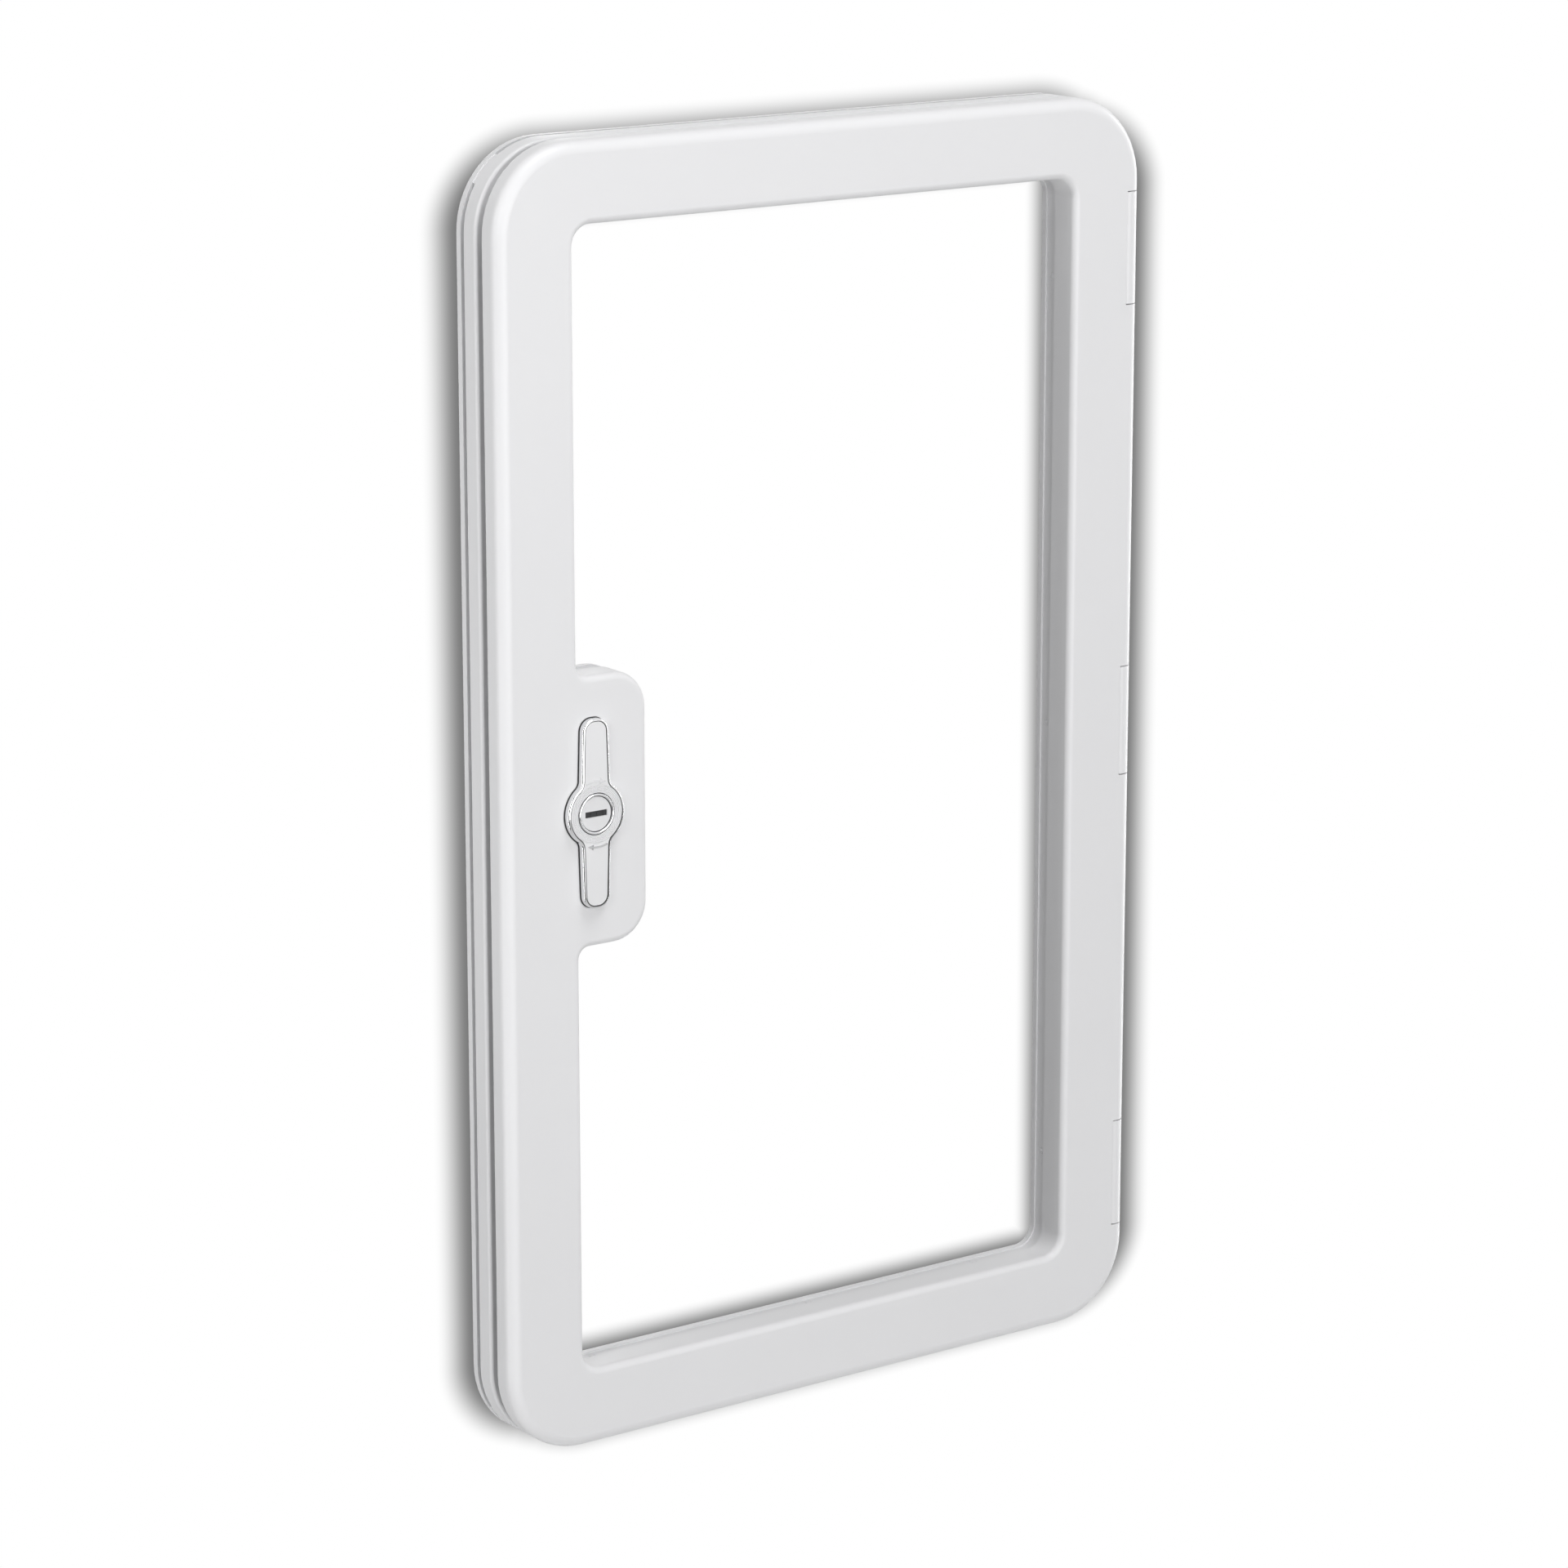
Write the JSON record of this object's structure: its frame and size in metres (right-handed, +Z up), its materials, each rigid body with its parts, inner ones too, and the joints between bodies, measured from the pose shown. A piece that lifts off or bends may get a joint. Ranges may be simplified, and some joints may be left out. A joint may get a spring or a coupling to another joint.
{
  "type": "service hatch",
  "caption": "Caravan service hatch: a fixed wall frame with a side-hinged door frame round an open centre, and a keyed twist handle on a lug.",
  "frame": {"origin": "on the wall face of the fixed frame's flange, at the middle of the bottom side", "axes": "+X to the hinge side, +Y into the wall, +Z up"},
  "size_m": [0.45, 0.0449, 0.75],
  "materials": {
    "frame_plastic": "white satin moulded plastic",
    "door_plastic": "white satin moulded plastic",
    "seal_rubber": "black soft rubber",
    "zinc_steel": "zinc plated steel",
    "lock_plastic": "dark moulded plastic",
    "handle_chrome": "bright chromed rim",
    "handle_face": "silver white satin",
    "key_metal": "satin metal"
  },
  "bodies": {
    "fixed_frame": {"outer_frame": "frame_plastic", "door_seal": "seal_rubber", "strike_plate": "zinc_steel", "hinge_knuckle_top": "frame_plastic", "hinge_knuckle_middle": "frame_plastic", "hinge_knuckle_bottom": "frame_plastic"},
    "door": {"door_front_frame": "door_plastic", "door_rear_frame": "door_plastic", "screw_caps": "door_plastic", "lock_housing": "lock_plastic", "lock_cover": "door_plastic", "hinge_pin_top": "zinc_steel", "hinge_pin_middle": "zinc_steel", "hinge_pin_bottom": "zinc_steel"},
    "handle": {"handle_body": "handle_chrome", "handle_face": "handle_face", "key_ring": "handle_chrome", "handle_spindle": "zinc_steel", "latch_cam": "zinc_steel", "cam_nut": "zinc_steel"},
    "key": {"key_cylinder": "key_metal"}
  },
  "joints": [
    {"name": "door_hinge", "type": "hinge", "parent": "fixed_frame", "child": "door", "pos_m": [0.218, -0.033, 0.366], "axis": [0, 0, 1], "range_deg": [0, 170]},
    {"name": "handle_turn", "type": "hinge", "parent": "door", "child": "handle", "pos_m": [-0.1665, -0.04, 0.366], "axis": [0, 1, 0], "range_deg": [0, 90]},
    {"name": "key_turn", "type": "hinge", "parent": "handle", "child": "key", "pos_m": [-0.1665, -0.043, 0.366], "axis": [0, 1, 0], "range_deg": [0, 90]}
  ]
}
